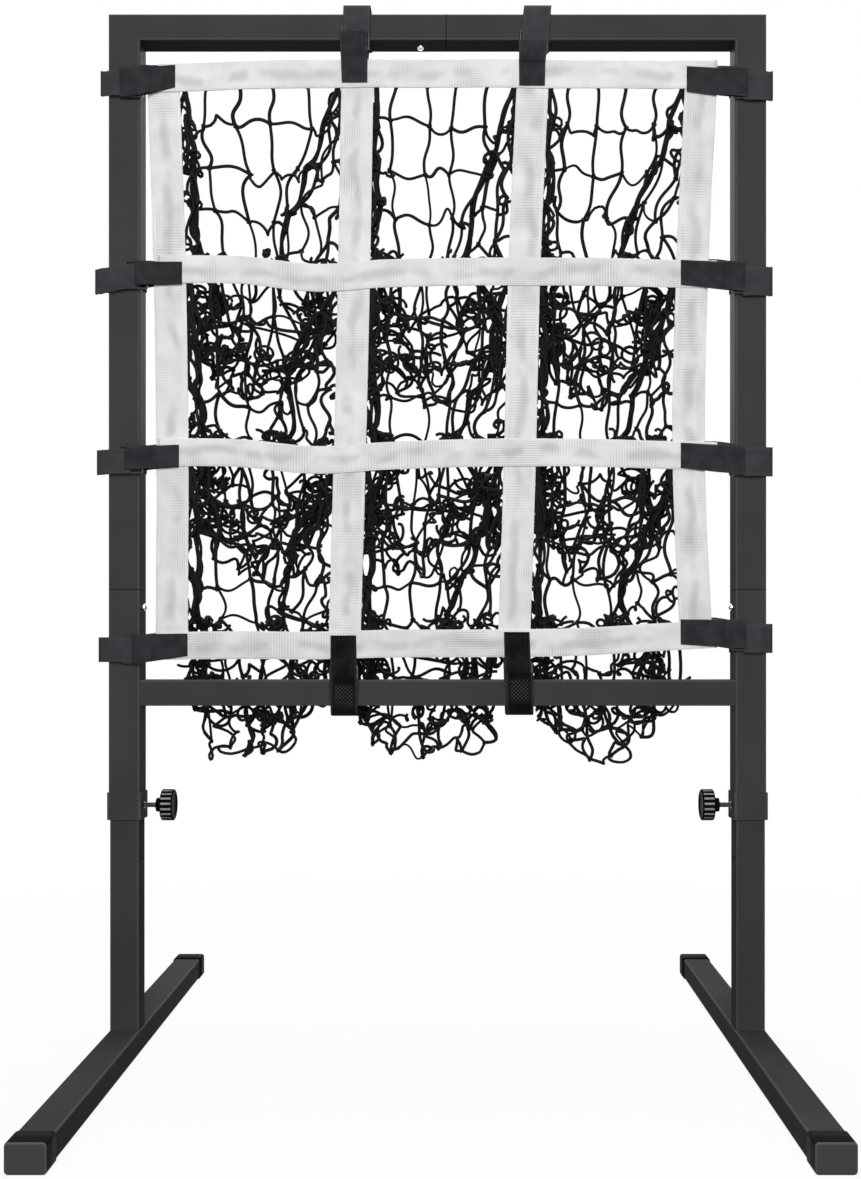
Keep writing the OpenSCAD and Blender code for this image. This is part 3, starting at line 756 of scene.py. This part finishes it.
def hang_pocket(net, column, centre, top, hole):
    """Knots one pocket. centre and top are its hole's, and hole is the hole's height."""
    corner = np.array([centre, mouth_y, top])
    half = hole_half
    rows = len(row_depth)
    round_bottom = (18 if column == 0 else 30) * MM         # how much higher the bag's sides hang
    grid = np.zeros((cells + 1, rows), int)
    for j, depth in enumerate(row_depth):
        on_back, held = j < back_rows, j in (0, rows - 1)
        for i in range(cells + 1):
            deep = depth * MM
            if on_back:
                z = row_height[j] * hole
                x = min(half * (1.94 * spread[i] - 0.97), half * right_seam[column][j] - 7 * MM * (cells - i))
                loose = 4 * MM
                if j:
                    deep *= 0.25 + 0.75 * min(1, spread[i] / 0.3)
                if i == 0:
                    x, loose = half * (-0.97 + 0.02 * j), 2 * MM
            else:
                z = -hole - bag_drop[j - back_rows] * MM
                left, right = [half * side[column][j - back_rows] for side in (bag_left, bag_right)]
                x = left + (right - left) * i / cells
                loose = 10 * MM
                if abs(j - bottom_row) < 2:
                    z += round_bottom * (2 * i / cells - 1) ** 2
                    loose = 5 * MM
            tied = held or (i in (0, cells) and on_back)
            place = corner + [x, deep, z] + chance.normal(0, 1, 3) * (0 if held else loose)
            grid[i, j] = net.knot(place, 0.0 if tied else 1.0)
    for i in range(cells + 1):
        seam = []
        for j in range(rows - 1):
            a, b = grid[i, j], grid[i, j + 1]
            gap = net.apart(a, b)
            if i in (0, cells) and j <= back_rows:
                net.twine(a, b, 1.02 * gap, seam=seam, wild=0)
            elif j < back_rows:
                net.twine(a, b, gap * chance.uniform(1.01, 1.06))
            else:
                net.twine(a, b, mesh_l * chance.uniform(1.0, 1.4))
        if seam:
            net.seams.append(seam + [grid[i, back_rows + 1]])
    for j in range(1, rows - 1):
        for i in range(cells):
            a, b = grid[i, j], grid[i + 1, j]
            if j < back_rows:
                lean = np.array([0, 0, chance.choice([-1, 1], p=[0.75, 0.25])])
                length = max(mesh_l * chance.uniform(0.7, 0.98), net.apart(a, b) * 1.1)
                net.twine(a, b, length, lean=lean, wild=0.35)
            else:
                net.twine(a, b, mesh_l * chance.uniform(0.9, 1.3))
    sewn_at = [-0.20, -0.43, -0.67, -0.90]                  # heights at the hole's sides, as shares
    for way, edge in ((-1, 0), (1, cells)):                 # the side nets
        before = [grid[edge, 0]] * 3
        for j in range(1, bottom_row):
            back = grid[edge, j]
            if j < back_rows:
                z = sewn_at[j - 1] * hole + chance.normal(0, 4 * MM)
                front = net.knot(corner + [way * (half + sewn_in), 1 * MM, z], 0.0, False)
                loose, between = 4 * MM, ((0.2, 12), (0.47, -8), (0.74, 12))
            else:
                front = grid[edge, 2 * bottom_row - j]
                loose, between = 10 * MM, ((0.3, 6), (0.7, -6))
            start, span = net.points[front], net.points[back] - net.points[front]
            row = [net.knot(start + span * t + [0, 0, rise * MM] + chance.normal(0, loose, 3))
                   for t, rise in between]
            chain = [front, *row, back]
            for a, b in zip(chain, chain[1:]):
                net.twine(a, b, max(mesh_l * chance.uniform(0.45, 0.7), net.apart(a, b) * 1.12))
            for a, b in zip(before, row):
                net.twine(a, b, max(mesh_l * chance.uniform(0.95, 1.1), net.apart(a, b) * 1.06))
            before = row
        for k, a in enumerate(before):
            net.twine(a, grid[edge - way * k, bottom_row - k], mesh_l * 1.1)
    at_seam = (right_seam[column][-1] - 0.06, -0.965, 0.1, 3, 4.5, 8)
    t = np.linspace(-1, 1, 27)[:, None]
    for x, high, wide, tall, curl, count in [*bunches, at_seam]:
        for _ in range(count):
            spot = corner + [half * x, 45 * MM, hole * high]
            spot = spot + chance.normal(0, 1, 3) * [half * wide, 12 * MM, tall * MM]
            loop = curls(1, chance.uniform(1.3, 2.1), t)[0] * chance.uniform(0.7, 1.3) * curl * MM
            drift = t * chance.normal(0, 1, 3) * [2 * curl * MM, 6 * MM, curl * MM]
            net.gathers.append(spot + loop + drift)


def settle(points, free, links, bends, low, high, steps=20, fall=0.25 * MM):
    """Lets the knots fall a little each step while every twine keeps its length and its
    stiffness, inside the box from low to high. Twines that share no point move together."""
    groups = []
    for ties, stiff in ((links, False), (bends, True)):
        batches = []
        for tie in ties:
            for used, batch in batches:
                if tie[0] not in used and tie[1] not in used:
                    break
            else:
                used, batch = set(), []
                batches.append((used, batch))
            used.update(tie[:2])
            batch.append(tie)
        for used, batch in batches:
            rows = np.array(batch)
            a, b = rows[:, 0].astype(int), rows[:, 1].astype(int)
            groups.append((a, b, rows[:, 2], free[a], free[b], stiff))
    loose = free > 0
    for _ in range(steps):
        points = points.copy()
        points[loose, 2] -= fall
        for _ in range(6):
            for a, b, length, free_a, free_b, stiff in groups:
                apart_by = points[b] - points[a]
                gap = np.sqrt((apart_by ** 2).sum(1)) + 1e-12
                off = (gap - length) / gap
                if stiff:
                    off = 0.5 * np.minimum(off, 0)
                both = free_a + free_b + 1e-9
                points[a] += apart_by * (off * free_a / both)[:, None]
                points[b] -= apart_by * (off * free_b / both)[:, None]
            points[loose] = np.clip(points[loose], low[loose], high[loose])
    return points


def smooth(paths, steps):
    """A round curve through the points of each path, with steps points for each of its."""
    ends = [2 * paths[..., :1, :] - paths[..., 1:2, :], paths, 2 * paths[..., -1:, :] - paths[..., -2:-1, :]]
    p = np.concatenate(ends, axis=-2)
    a, b, c, d = (p[..., k:p.shape[-2] - 3 + k, :] for k in range(4))
    runs = []
    for k in range(steps):
        t = k / steps
        runs.append(0.5 * (2 * b + (c - a) * t + (2 * a - 5 * b + 4 * c - d) * t ** 2
                           + (3 * b - a - 3 * c + d) * t ** 3))
    stacked = np.stack(runs, axis=-2).reshape(*paths.shape[:-2], -1, 3)
    return np.concatenate([stacked, paths[..., -1:, :]], axis=-2)


def tubes(paths, radius, sides=6):
    """Points, faces and values of a closed tube along each of the paths, which have as many
    points each. radius is one number, or one for each point of a path."""
    count, length = paths.shape[:2]
    tangent = unit(np.gradient(paths, axis=1), 1e-12)
    normal = np.cross(tangent[:, 0], [0.31, 0.52, 0.79])
    turn = 2 * np.pi * np.arange(sides) / sides
    points = np.zeros((count, length, sides, 3))
    radius = np.broadcast_to(radius, (count, length))
    for i in range(length):
        normal = unit(normal - tangent[:, i] * (normal * tangent[:, i]).sum(1, keepdims=True), 1e-12)
        other = np.cross(tangent[:, i], normal)
        ring = normal[:, None] * np.cos(turn)[:, None] + other[:, None] * np.sin(turn)[:, None]
        points[:, i] = paths[:, i, None] + radius[:, i, None, None] * ring
    base = (np.arange(count)[:, None, None] * length + np.arange(length - 1)[:, None]) * sides
    j = np.arange(sides)
    k = (j + 1) % sides
    quads = np.stack([base + j, base + k, base + sides + k, base + sides + j], -1).reshape(-1, 4)
    first = np.arange(count)[:, None] * length * sides
    last = first + (length - 1) * sides
    faces = [face for part in (quads, first + j[::-1], last + j) for face in part.tolist()]
    along = np.concatenate([np.zeros((count, 1)), steps_of(paths).cumsum(1)], 1)
    near = np.broadcast_to(along[:, :-1, None], (count, length - 1, sides))
    far = np.broadcast_to(along[:, 1:, None], near.shape)
    left = np.broadcast_to(j / sides, near.shape)
    right = left + 1 / sides
    lids = np.zeros(2 * count * sides)
    values = {"along": np.r_[np.stack([near, near, far, far], -1).ravel(), lids],
              "around": np.r_[np.stack([left, right, right, left], -1).ravel(), lids]}
    return points.reshape(-1, 3), faces, values


def merge(*parts):
    """One mesh out of several, each (points, faces, values)."""
    points, faces, values, start = [], [], {}, 0
    for part_points, part_faces, part_values in parts:
        points.append(part_points)
        faces += [[start + v for v in face] for face in part_faces]
        for key, numbers in part_values.items():
            values.setdefault(key, []).append(numbers)
        start += len(part_points)
    return np.concatenate(points), faces, {key: np.concatenate(numbers) for key, numbers in values.items()}


def knot_loops(places, radius):
    """The path of a small tight knot at each place, turned at random."""
    t = np.linspace(0, 2 * np.pi, 15)
    wrap = np.stack([np.sin(t) + 2 * np.sin(2 * t),
                     np.cos(t) - 2 * np.cos(2 * t),
                     -1.2 * np.sin(3 * t)], 1) / 3
    turns = np.linalg.qr(chance.normal(size=(len(places), 3, 3)))[0]
    return places[:, None] + radius * np.einsum("nij,pj->npi", turns, wrap)


twine_finish = Finish("black_twine")
twine_along, twine_around = twine_finish.own("along"), twine_finish.own("around")
lay = 0.5 + 0.5 * (twine_along / (4.2 * MM) + 3 * twine_around).wave(1)
fuzz = twine_finish.noise(0.0009, detail=3)
fade = twine_finish.noise(0.02)
twine_finish.shade(
    Base_Color=twine_finish.blend(fade * 0.6 + 0.4 * fuzz, (0.005, 0.005, 0.006), (0.013, 0.013, 0.014)),
    Roughness=0.6 + 0.15 * fuzz,
    Normal=twine_finish.relief(lay + 0.3 * fuzz, 0.25 * MM),
    Specular_IOR_Level=0.1)

pocket_names = [["pocket_top_left", "pocket_top_middle", "pocket_top_right"],
                ["pocket_middle_left", "pocket_centre", "pocket_middle_right"],
                ["pocket_bottom_left", "pocket_bottom_middle", "pocket_bottom_right"]]
mouth_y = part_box("pocket_centre")[0][1]
net = Netting()
low_box, high_box = [], []
marks = [(0, 0, 0, 0, 0)]
for r, row in enumerate(pocket_names):
    hole_top = band_rows[r][0][2]
    hole_bottom = band_rows[r + 1][1][2]
    for c, name in enumerate(row):
        low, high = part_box(name)
        hang_pocket(net, c - 1, (low[0] + high[0]) / 2, hole_top, hole_top - hole_bottom)
        made = len(net.points) - marks[-1][0]
        inside = twine_r + 1 * MM
        low_box += [[low[0] + inside, mouth_y, low[2] - 4 * MM]] * made
        high_box += [[high[0] - inside, high[1] - inside, high[2]]] * made
        marks.append([len(part) for part in (net.points, net.twines, net.seams, net.knots, net.gathers)])
settled = settle(np.array(net.points), np.array(net.free), net.links, net.bends,
                 np.array(low_box), np.array(high_box))


def follow_bands(places):
    """Moves netting with the webbing that it is sewn to."""
    near_mouth = np.clip(1 - (places[..., 1] - mouth_y) / (60 * MM), 0, 1)
    held_z = np.clip(places[..., 2], band_rows[3][0][2], band_rows[0][1][2])
    dx, dz = pull(places[..., 0], held_z)
    lift = -ripple(places[..., 0], places[..., 2])
    return places + np.stack([dx, lift * near_mouth, dz * near_mouth], -1)


def crimp(runs):
    """Bends each twine a little sideways between its knots, as the knots set it."""
    runs = runs.copy()
    for _ in range(2):
        runs[:, 1:-1] = 0.25 * runs[:, :-2] + 0.5 * runs[:, 1:-1] + 0.25 * runs[:, 2:]
    t = np.linspace(0, 1, runs.shape[1])[:, None]
    bow, wave = chance.normal(0, 1, (2, len(runs), 1, 3)) * [1, 0.4, 0.7]
    reach = np.linalg.norm(runs[:, -1] - runs[:, 0], axis=1)
    slack = np.clip(8 * (steps_of(runs).sum(1) / reach - 1.1), 0, 1)[:, None, None]
    bends = (1.3 + 2.5 * slack) * bow * np.sin(math.pi * t)
    bends = bends + (1.1 + 1.6 * slack) * wave * np.sin(2 * math.pi * t)
    round_ones = 6.2 * slack * (chance.uniform(size=(len(runs), 1, 1)) < 0.7) * np.sin(math.pi * t)
    bends += round_ones * curls(len(runs), chance.uniform(1.1, 1.6, (len(runs), 1, 1)), 2 * t - 1)
    return runs + MM * bends


def seam_strands(path, loose, strands):
    """Twines that wind round a seam's path, loose metres off it at each of its ends."""
    along = np.linspace(0, 1, len(path))[:, None]
    side = unit(np.cross(np.gradient(path, axis=0), [0, 1, 0]), 1e-9)
    wound = []
    for strand in range(strands):
        phase, pitch = 2 * math.pi * strand / strands + chance.normal(0, 0.3), chance.uniform(2.4, 3.6)
        turn = phase + 2 * math.pi * pitch * along
        reach = (loose[0] + (loose[1] - loose[0]) * along) * (1 + 0.35 * np.sin(9 * along + phase))
        wound.append(path + reach * (side * np.cos(turn) + np.array([0, 1, 0]) * np.sin(turn)))
    return np.array(wound)


def behind(places):
    """Keeps twine behind the webbing, which it is sewn to but doesn't go through."""
    kept = places.copy()
    nearest = mouth_y + twine_r + 0.6 * MM - ripple(places[..., 0], places[..., 2])
    kept[..., 1] = np.maximum(places[..., 1], nearest)
    return kept


places = follow_bands(settled)
for k, name in enumerate(n for row in pocket_names for n in row):
    first, last = marks[k], marks[k + 1]
    runs = crimp(places[np.array(net.twines[first[1]:last[1]])])
    parts = [tubes(behind(smooth(runs, 2)), twine_r * (1 + 0.1 * chance.normal(size=(len(runs), 1))))]
    for s, seam in enumerate(net.seams[first[2]:last[2]]):
        path = places[seam][::2]
        loose = [(1.4 * MM, 4.5 * MM), (1.4 * MM, 2.6 * MM)][s % 2]
        parts.append(tubes(behind(smooth(seam_strands(path, loose, 5 - s % 2), 3)), twine_r * 0.9))
    bunch = follow_bands(np.array(net.gathers[first[4]:last[4]]))
    parts.append(tubes(behind(bunch), twine_r * 0.95))
    spots = places[net.knots[first[3]:last[3]]]
    parts.append(tubes(behind(knot_loops(spots, knot_r)), twine_r * 0.85, sides=5))
    points, faces, values = merge(*parts)
    pocket = add_piece(f"{name}_netting", points, faces, twine_finish, values)
    fit(pocket, name, "frame")


# ---- Straps ----
# Black hook-and-loop tape. A tab sewn on the webbing covers a rectangular ring, and a longer
# tape goes from behind the webbing round the tube, over the ring's far bar and back under it.

strap_t = 1.2 * MM


def tape_finish(name, dark, light, hooks=False):
    """Brushed nylon tape with sewn seams, or with a bed of hooks."""
    finish = Finish(name)
    along, across = finish.own("along"), finish.own("across")
    nap = finish.noise(0.0006, detail=3)
    brushed = finish.noise(0.014)
    # painted highlight: the tape is coloured lighter along its two edges
    selvedge_highlight = across.size().step(0.0125, 0.0132)
    tone = finish.blend(brushed.step(0.3, 0.7), dark, light)
    if hooks:                           # hooks in rows on the tube's front, and a shadow at the free end
        to_end = finish.own("to_end")
        dots = (along + across).wave(8.8 * MM) * (along - across).wave(8.8 * MM)
        dots = dots.size().step(0.35, 0.8)
        bed = to_end.step(0.006, 0.011) * (1 - to_end.step(0.028, 0.038))
        bed = bed * (1 - across.size().step(0.009, 0.0125))
        height = 0.6 * nap + dots * bed
        tone = finish.blend(dots * bed * 0.7, tone, (0.075, 0.075, 0.085))
        tone = finish.blend((1 - to_end.step(0.001, 0.006)) * 0.8, tone, (0.001, 0.001, 0.001))
    else:
        inside = 1 - across.size().step(0.0098, 0.0101)
        seam = stitch_line(across.size(), along, 0.0098, 2.8 * MM, 0.5 * MM)
        seam = seam + stitch_line(along, across, 0.005, 2.8 * MM, 0.5 * MM) * inside
        height = nap + 0.8 * seam
        tone = finish.blend(seam * 0.4, tone, (0.05, 0.05, 0.052))
    return finish.shade(
        Base_Color=finish.blend(selvedge_highlight * 0.3, tone, (0.07, 0.07, 0.075)),
        Roughness=0.75 + 0.12 * nap,
        Normal=finish.relief(height, 0.2 * MM),
        Specular_IOR_Level=0.06)


tab_finish = tape_finish("strap_tab_tape", (0.024, 0.025, 0.0285), (0.038, 0.039, 0.044))
loop_finish = tape_finish("strap_loop_tape", (0.044, 0.045, 0.050), (0.055, 0.056, 0.062))
hook_finish = tape_finish("strap_hook_tape", (0.002, 0.002, 0.0025), (0.006, 0.006, 0.007), hooks=True)
black_tab_finish = tape_finish("strap_black_tape", (0.004, 0.004, 0.0045), (0.011, 0.011, 0.012))


def strap_paths(tube_w, slack, meet, tab_end, loop_on_top):
    """The runs of a strap's tab, keeper and loop in mm round a tube on the origin: u away from
    the webbing, v to the front. meet is where the tab and the loop part on the front."""
    near, far = -tube_w / 2 - 0.9, tube_w / 2 + slack - 0.6
    shift = min(0, meet + 8)
    tab_top, loop_top = (22.4, 23.7) if loop_on_top else (23.7, 22.4)
    rise = [(-42, 18.2), (-35 + shift / 2, 19.6), (-29 + shift / 2, tab_top - 0.4),
            (-23 + shift / 2, tab_top), (-14, tab_top), (-8, tab_top)]
    last = max(meet + 8, -12) if loop_on_top else meet
    tab = [(-tab_end, 18.1), (-(tab_end + 55) / 2, 18.1), (-55, 18.1), (-48, 18.1)]
    tab += [p for p in rise if p[0] < last - 3] + [(last, tab_top)]
    under = [(-37, 17.0), (-30, 17.7), (-24, 18.0), (-18.5, 18.3), (-17.0, 20.2), (-18, 21.9), (-22, 22.2)]
    if loop_on_top:
        shift = -4
    under = [(u + shift, v) for u, v in under]
    loop = [(-62, 12.9), (-50, 12.9), (-40, 12.6), (-30, 9.5), (near - 1.2, 3), (near, -4), (near, -12),
            (near + 1.2, -16.8), (near + 5, -17.9), (0, -17.9), (tube_w / 2 - 4, -17.9), (far - 5, -17.6),
            (far - 0.8, -14), (far, -6), (far, 4), (far - 0.6, 12), (far - 3.5, 17.6), (far - 8, 19.8),
            (tube_w / 2 - 7, loop_top - 0.6), (6, loop_top)]
    if loop_on_top:
        return tab, under, loop + [(-4, loop_top), (-14, loop_top), (meet, loop_top)]
    turn = min(-7, meet) - 1.2
    loop += [(u, loop_top) for u in (-1, turn + 4)] + [(turn, 21.6), (turn - 0.7, 19.9), (turn + 1.8, 18.3)]
    return tab, under, loop + [(turn + 8, 17.95), (turn + 16, 17.95)]


def ring_frame(width, length, bar, thick):
    """Rings of points of a flat rectangular ring with rounded bars, about the origin, with
    its length along the first axis and its thickness along the second."""
    centre = rounded(length - bar, width - bar, 2.4 * MM, steps=5)
    tangent = unit(np.roll(centre, -1, 0) - np.roll(centre, 1, 0))
    out = np.c_[tangent[:, 1], -tangent[:, 0]]
    section = rounded(bar, thick, 0.9 * MM, steps=3)
    return [np.c_[c[0] + section[:, 0] * o[0], section[:, 1], c[1] + section[:, 0] * o[1]]
            for c, o in zip(centre, out)]


def closed_sweep(rings):
    """Points, faces and values of a solid through rings that go round to the first again."""
    count, around = len(rings), len(rings[0])
    pairs = [(j, (j + 1) % around) for j in range(around)]
    faces = []
    for i in range(count):
        here, there = i * around, (i + 1) % count * around
        faces += [(here + j, there + j, there + k, here + k) for j, k in pairs]
    return np.concatenate(rings), faces, {}


ring_finish = Finish("ring_plastic")
ring_cloud = ring_finish.noise(0.006)
ring_finish.shade(
    Base_Color=ring_finish.blend(ring_cloud, (0.008, 0.008, 0.009), (0.014, 0.014, 0.015)),
    Roughness=0.22 + 0.1 * ring_cloud,
    Normal=ring_finish.relief(ring_finish.noise(0.0005), 0.01 * MM),
    Specular_IOR_Level=0.3)

ring_bar, ring_t, ring_l, ring_w = 3 * MM, 2.5 * MM, 29 * MM, 33.6 * MM
ring_v = 20.35                          # the rings' middle in front of the tubes', in mm
ring_points, ring_faces, ring_values = closed_sweep(ring_frame(ring_w, ring_l, ring_bar, ring_t))

foot_low, foot_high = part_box("left_foot")
rail_low, rail_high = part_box("cross_rail")
top_low, top_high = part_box("top_rings")
upright_x = foot_low[0] * -0.5 - foot_high[0] * 0.5
rail_z = {"top": (top_low[2] + top_high[2]) / 2 + 14 * MM, "bottom": (rail_low[2] + rail_high[2]) / 2}

# For each strap from the top down or from the left, in mm: slack round the tube, where tab and
# loop part, and the tab's end; how far its sewn end, its tab at the ring, and its loop behind,
# beside and in front of the tube lie off its line; lean of the loop's far side, and how much
# wider the tab gets at the ring
strap_sizes = {
    "left": [(10.7, 3.1, 59, -3.9, -13.6, 3.4, -13.9, -13.9, 0, 8),
             (17, -13.7, 67, -2.6, -4.1, -1.8, -13.5, -7, 4, 1),
             (15, -2.5, 63.5, -2.7, -5.8, -5, -10.7, -8.8, 1, 1),
             (13, -11.4, 73, -0.7, -5.9, -6, -6.3, -6.3, 0, 8)],
    "right": [(9, -4.6, 74, -7.2, -13.4, 1, -16.6, -16.6, 0, 5),
              (8.6, -8, 81, -2.1, -8.1, -1.5, -12.8, -12.8, 0, 5),
              (8.6, -8, 81, -2.1, -8.5, -4, -9.7, -9.7, 0, 4),
              (8.4, -7, 81, 14.1, 11.5, 7, 6.6, 6.6, 0, 4)],
    "top": [(12, -8, 65, 5.8, 5, 8.4, 8.4, 8.4, 0, 2),
            (12, -19, 68, 7.8, 7.8, 14, 14.5, 11.5, 0, 2)],
    "bottom": [(12, -17, 66, -7.1, -6.6, -6.2, -6.2, -6.2, 0, 1),
               (11, -23.5, 70, -10, -8.5, -7, -6, -7, 3, 1)]}
# The tube's width, the loop's, and how much narrower the tab is, in mm
strap_widths = {"left": (36, 28.5, 2.5), "right": (36, 33.5, 4.5),
                "top": (30, 31, 1.5), "bottom": (30, 31, 1.5)}
stages = (2, 7, 11, 16, 21)             # points of a loop's run where its five drops hold


def make_strap(end, i, to_world, across, way, finishes):
    """Makes the tab, keeper and loop of strap i at that edge of the target, and returns them."""
    slack, meet, tab_end, *drops, skew, flare = strap_sizes[end][i]
    tube_w, wide, narrow = strap_widths[end]
    tab, under, loop = strap_paths(tube_w, slack, meet, tab_end, finishes[1] is hook_finish)
    made = []
    for part, run, finish, less in (("tab", tab, finishes[0], narrow),
                                    ("keeper", under, finishes[0], narrow + 1),
                                    ("loop", loop, finishes[1], 0)):
        path = smooth(np.c_[np.array(run, float), np.zeros(len(run))], 5)
        u = path[:, 0].copy()
        tape_w = (wide - less) * MM
        widths = np.interp(u, (-tab_end, -20), (1, 1 + flare / wide))
        path[:, 2] = np.interp(u, (-tab_end, min(meet, -8)), drops[:2])
        if part == "loop":
            widths = np.ones(len(path))
            path[:, 2] = np.interp(np.arange(len(path)) / 5, stages, (drops[0], drops[2], *drops[2:]))
        path = np.array([to_world(*p) for p in path * MM])
        points, faces, values = strip(path, np.outer(widths, across), tape_w, strap_t)
        u = np.r_[np.repeat(u, (len(points) - 2) // len(path)), u[0], u[-1]]
        lean = -way * skew * MM * np.clip(u / 20, 0, 1) * values["across"] / 15 if part == "loop" else 0
        points = points + np.outer(lean, to_world(1, 0, 0) - to_world(0, 0, 0))
        points[:, 1] -= ripple(points[:, 0], points[:, 2]) * np.clip((-20 - u) / 20, 0, 1)
        piece = add_piece(f"{end}_strap_{i + 1}_{part}", points, faces, finish, values)
        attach(piece, "frame")
        tape_w * float(widths.mean())
        float(steps_of(path).sum())
        made.append(piece)
    return made


for end, way in (("left", -1), ("right", 1), ("top", 1), ("bottom", -1)):
    on_rail = end in ("top", "bottom")
    finishes = (black_tab_finish, hook_finish) if end == "bottom" else (tab_finish, loop_finish)
    straps, rings = [], []
    for i, spot in enumerate(col_x[1:3] if on_rail else row_z):

        def to_world(u, v, w):
            """A place u away from the webbing, v to the front and w along the tube."""
            if on_rail:
                return np.array([spot + w, -v, rail_z[end] + way * u])
            return np.array([way * (upright_x + u), -v, spot + w])

        across = (-way, 0, 0) if on_rail else (0, 0, way)
        straps += make_strap(end, i, to_world, across, way, finishes)
        meet, drops = strap_sizes[end][i][1], strap_sizes[end][i][3:8]
        ring_u = -14 + min(0, meet + 8) / 2 if on_rail else -9 + min(0, meet + 8)
        ring_at = to_world(ring_u * MM, ring_v * MM, (drops[1] + drops[4]) / 2 * MM)
        points = ring_points[:, [2, 1, 0]] if on_rail else ring_points
        faces = [face[::-1] for face in ring_faces] if on_rail else ring_faces
        rings.append((points + ring_at, faces, ring_values))
    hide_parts(f"{end}_straps")
    ring = add_piece(f"{end}_strap_rings", *merge(*rings)[:2], ring_finish)
    fit(ring, f"{end}_rings", "frame")
